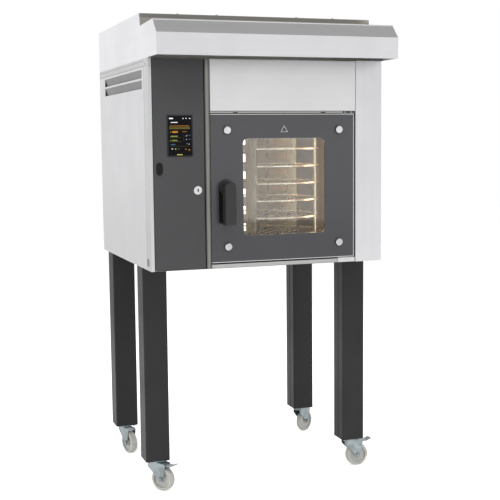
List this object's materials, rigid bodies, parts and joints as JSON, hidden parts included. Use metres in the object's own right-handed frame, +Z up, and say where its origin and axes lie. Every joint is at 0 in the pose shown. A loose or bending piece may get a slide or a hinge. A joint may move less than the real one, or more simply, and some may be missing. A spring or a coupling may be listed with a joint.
{
  "type": "rack oven",
  "caption": "Bakery convection oven with a revolving rack behind a windowed door, a steam hood above and a legged stand on swivel casters.",
  "frame": {"origin": "middle of the whole oven's box, on the floor that the wheels stand on", "axes": "+X to the right seen from the front, +Y from front to back, +Z up"},
  "size_m": [1.051, 1.116, 1.972],
  "materials": {
    "stainless": "brushed stainless sheet",
    "liner_steel": "plain stainless, warm from the lamps",
    "post_steel": "satin stainless trim",
    "hood_steel": "fine brushed stainless",
    "panel_paint": "satin dark grey powder coat",
    "leg_paint": "satin charcoal powder coat",
    "mild_steel": "plain steel",
    "zinc": "bright zinc plate",
    "nylon": "natural white nylon",
    "glass_dark": "front pane with dark enamel border",
    "glass_clear": "clear pane",
    "seal": "silicone",
    "cap_rubber": "soft black rubber",
    "wool": "mineral wool",
    "black_plastic": "moulded black handle",
    "grey_plastic": "switchgear housings",
    "screen": "touch screen",
    "chrome": "polished",
    "brass": "turned brass",
    "lamp": "opal lamp lens",
    "motor_iron": "painted castings"
  },
  "bodies": {
    "cabinet": {"base_pan": "mild_steel", "inner_frame": "mild_steel", "side_panel_left": "stainless", "side_panel_right": "stainless", "corner_post": "stainless", "front_column": "stainless", "rear_panel": "stainless", "roof_panel": "stainless", "centre_post": "post_steel", "fascia": "stainless", "door_surround": "post_steel", "hinge_brackets": "zinc", "latch_catch": "mild_steel", "chamber_liner": "liner_steel", "insulation": "wool", "door_seal": "seal", "air_baffle": "liner_steel", "heater_coils": "mild_steel", "fan_motor": "motor_iron", "rack_gearmotor": "motor_iron", "rack_bearing": "brass", "chamber_lamp": "lamp", "steam_duct": "liner_steel", "steam_injector": "liner_steel", "cable_gland": "grey_plastic", "water_inlet": "brass", "switchgear": "grey_plastic", "hood_cheeks": "hood_steel", "hood_visor": "hood_steel", "hood_cover": "hood_steel", "flue_collar": "hood_steel", "legs": "leg_paint", "caster_plates": "zinc"},
    "door": {"door_pan": "liner_steel", "door_hinge_pins": "mild_steel", "window_frame": "liner_steel", "door_insulation": "wool", "door_outer_glass": "glass_dark", "door_inner_glass": "glass_clear", "glass_studs": "chrome", "handle_bush": "brass"},
    "handle": {"door_handle": "black_plastic"},
    "control_door": {"control_panel": "panel_paint", "display_bezel": "black_plastic", "display_screen": "screen"},
    "key_lock": {"key_lock": "chrome"},
    "port_cap": {"port_cap": "cap_rubber"},
    "rack": {"rack_frame": "liner_steel", "rack_shelves": "chrome"},
    "fan": {"fan_wheel": "liner_steel"},
    "fork_front_left": {"caster_fork_front_left": "zinc"},
    "wheel_front_left": {"caster_wheel_front_left": "nylon"},
    "pedal_front_left": {"brake_pedal_front_left": "zinc"},
    "fork_front_right": {"caster_fork_front_right": "zinc"},
    "wheel_front_right": {"caster_wheel_front_right": "nylon"},
    "pedal_front_right": {"brake_pedal_front_right": "zinc"},
    "fork_rear_left": {"caster_fork_rear_left": "zinc"},
    "wheel_rear_left": {"caster_wheel_rear_left": "nylon"},
    "fork_rear_right": {"caster_fork_rear_right": "zinc"},
    "wheel_rear_right": {"caster_wheel_rear_right": "nylon"}
  },
  "joints": [
    {"name": "door_hinge", "type": "hinge", "parent": "cabinet", "child": "door", "pos_m": [0.3365, -0.396, 1.272], "axis": [0, 0, 1], "range_deg": [0, 100]},
    {"name": "handle_turn", "type": "hinge", "parent": "door", "child": "handle", "pos_m": [-0.2125, -0.41, 1.278], "axis": [0, 1, 0], "range_deg": [0, 90]},
    {"name": "control_door_hinge", "type": "hinge", "parent": "cabinet", "child": "control_door", "pos_m": [-0.5045, -0.404, 1.369], "axis": [0, 0, -1], "range_deg": [0, 90]},
    {"name": "key_lock_turn", "type": "hinge", "parent": "control_door", "child": "key_lock", "pos_m": [-0.3305, -0.41, 1.269], "axis": [0, -1, 0], "range_deg": [0, 90]},
    {"name": "port_cap_hinge", "type": "hinge", "parent": "control_door", "child": "port_cap", "pos_m": [-0.4735, -0.412, 1.355], "axis": [0, 0, 1], "range_deg": [0, 95]},
    {"name": "rack_spin", "type": "hinge", "parent": "cabinet", "child": "rack", "pos_m": [0.039, -0.0661, 1.2735], "axis": [0, 0, 1], "continuous": true},
    {"name": "fan_spin", "type": "hinge", "parent": "cabinet", "child": "fan", "pos_m": [0.039, 0.276, 1.2735], "axis": [0, 1, 0], "continuous": true},
    {"name": "swivel_front_left", "type": "hinge", "parent": "cabinet", "child": "fork_front_left", "pos_m": [-0.4725, -0.196, 0.119], "axis": [0, 0, 1], "continuous": true},
    {"name": "roll_front_left", "type": "hinge", "parent": "fork_front_left", "child": "wheel_front_left", "pos_m": [-0.44707, -0.22424, 0.05], "axis": [0.7431, 0.6691, 0], "continuous": true},
    {"name": "brake_front_left", "type": "hinge", "parent": "fork_front_left", "child": "pedal_front_left", "pos_m": [-0.43904, -0.23316, 0.109], "axis": [0.7431, 0.6691, 0], "range_deg": [0, 10]},
    {"name": "swivel_front_right", "type": "hinge", "parent": "cabinet", "child": "fork_front_right", "pos_m": [0.4215, -0.196, 0.119], "axis": [0, 0, 1], "continuous": true},
    {"name": "roll_front_right", "type": "hinge", "parent": "fork_front_right", "child": "wheel_front_right", "pos_m": [0.4595, -0.196, 0.05], "axis": [0, 1, 0], "continuous": true},
    {"name": "brake_front_right", "type": "hinge", "parent": "fork_front_right", "child": "pedal_front_right", "pos_m": [0.4715, -0.196, 0.109], "axis": [0, 1, 0], "range_deg": [0, 10]},
    {"name": "swivel_rear_left", "type": "hinge", "parent": "cabinet", "child": "fork_rear_left", "pos_m": [-0.4725, 0.391, 0.119], "axis": [0, 0, 1], "continuous": true},
    {"name": "roll_rear_left", "type": "hinge", "parent": "fork_rear_left", "child": "wheel_rear_left", "pos_m": [-0.46076, 0.35486, 0.05], "axis": [0.9511, 0.309, 0], "continuous": true},
    {"name": "swivel_rear_right", "type": "hinge", "parent": "cabinet", "child": "fork_rear_right", "pos_m": [0.4215, 0.391, 0.119], "axis": [0, 0, 1], "continuous": true},
    {"name": "roll_rear_right", "type": "hinge", "parent": "fork_rear_right", "child": "wheel_rear_right", "pos_m": [0.453, 0.41225, 0.05], "axis": [-0.5592, 0.829, 0], "continuous": true}
  ]
}
